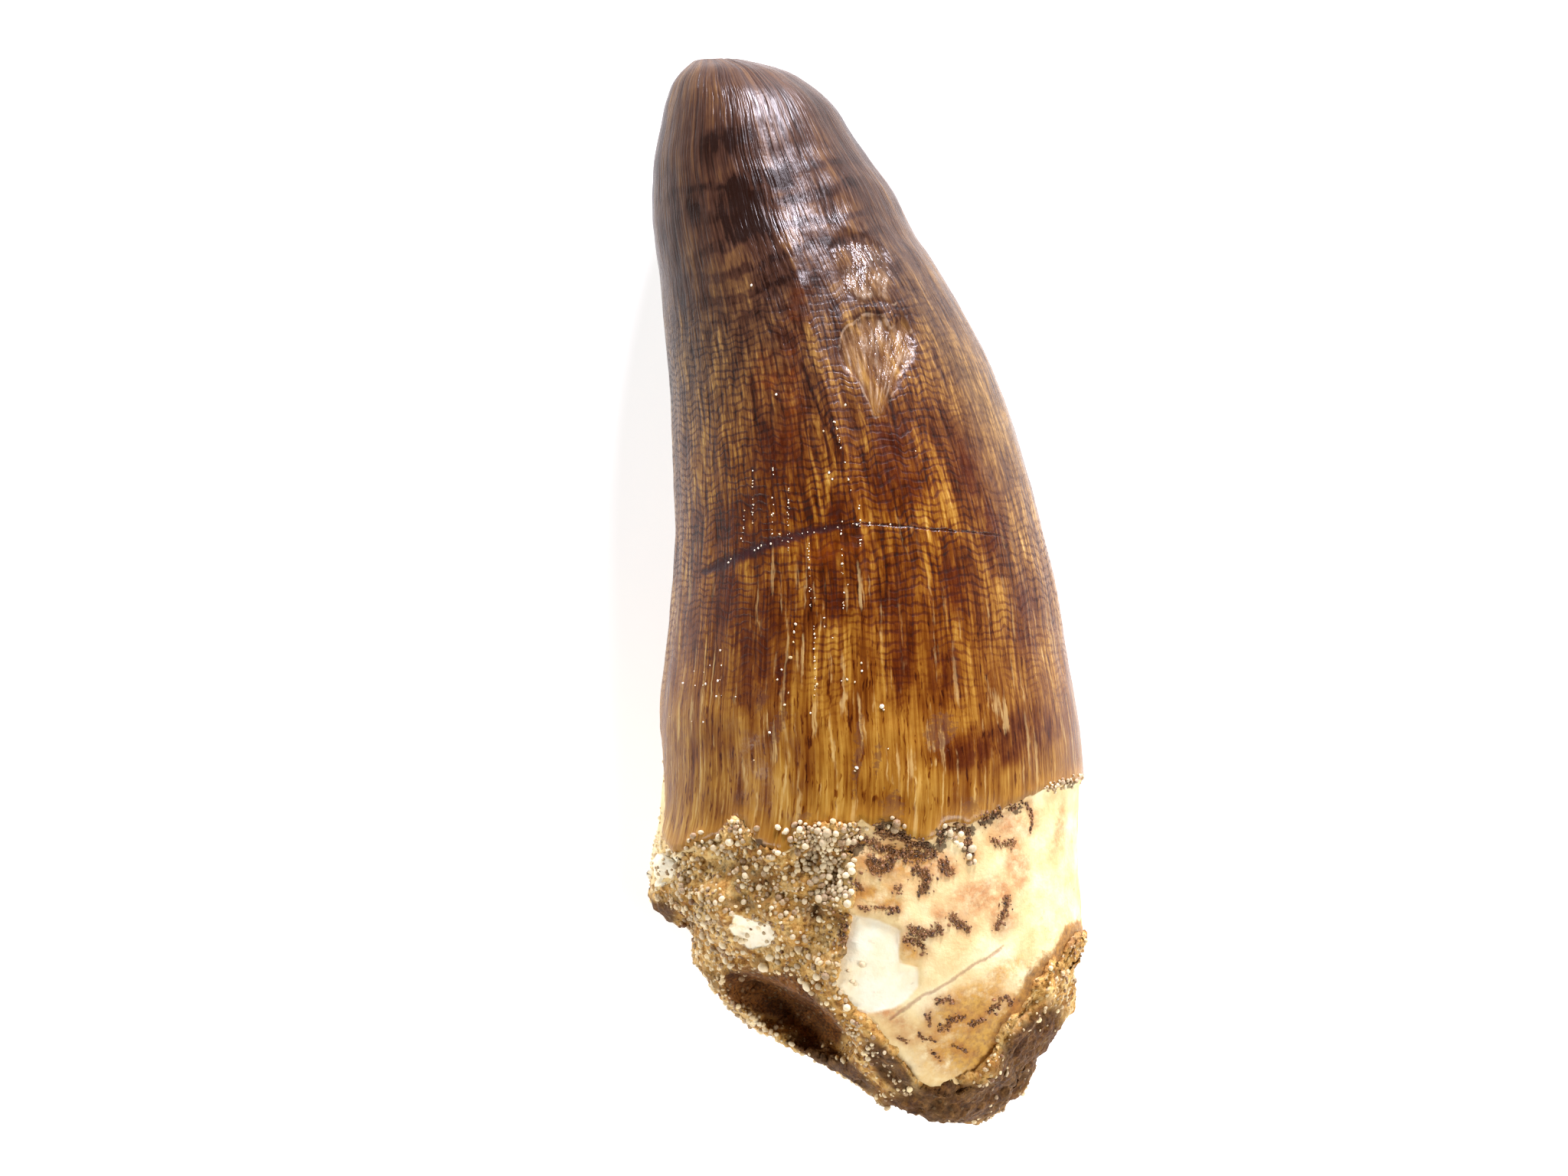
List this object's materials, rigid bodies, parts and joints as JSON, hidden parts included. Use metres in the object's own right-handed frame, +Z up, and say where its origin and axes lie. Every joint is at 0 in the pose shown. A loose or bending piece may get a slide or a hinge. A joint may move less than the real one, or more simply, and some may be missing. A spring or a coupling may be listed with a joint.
{
  "type": "fossil crocodile tooth",
  "caption": "Fossil crocodile tooth lying on its side: curved ribbed enamel crown, broken root wall, and sandy rock cemented in and around the root.",
  "frame": {"origin": "centre of the bounding box's underside, on the surface that the tooth lies on", "axes": "+Y along the tooth towards its tip; +X towards the outer, convex edge of its curve; +Z up, away from the surface it lies on"},
  "size_m": [0.0203, 0.0496, 0.0162],
  "materials": {
    "tooth": "glossy ribbed enamel, dark brown at the tip and honey brown at the base, over matt cream root dentine",
    "matrix": "rough, sandy, tan-brown phosphate rock with paler rounded pellets"
  },
  "bodies": {
    "root": {"tooth": "tooth", "matrix": "matrix"}
  },
  "joints": []
}
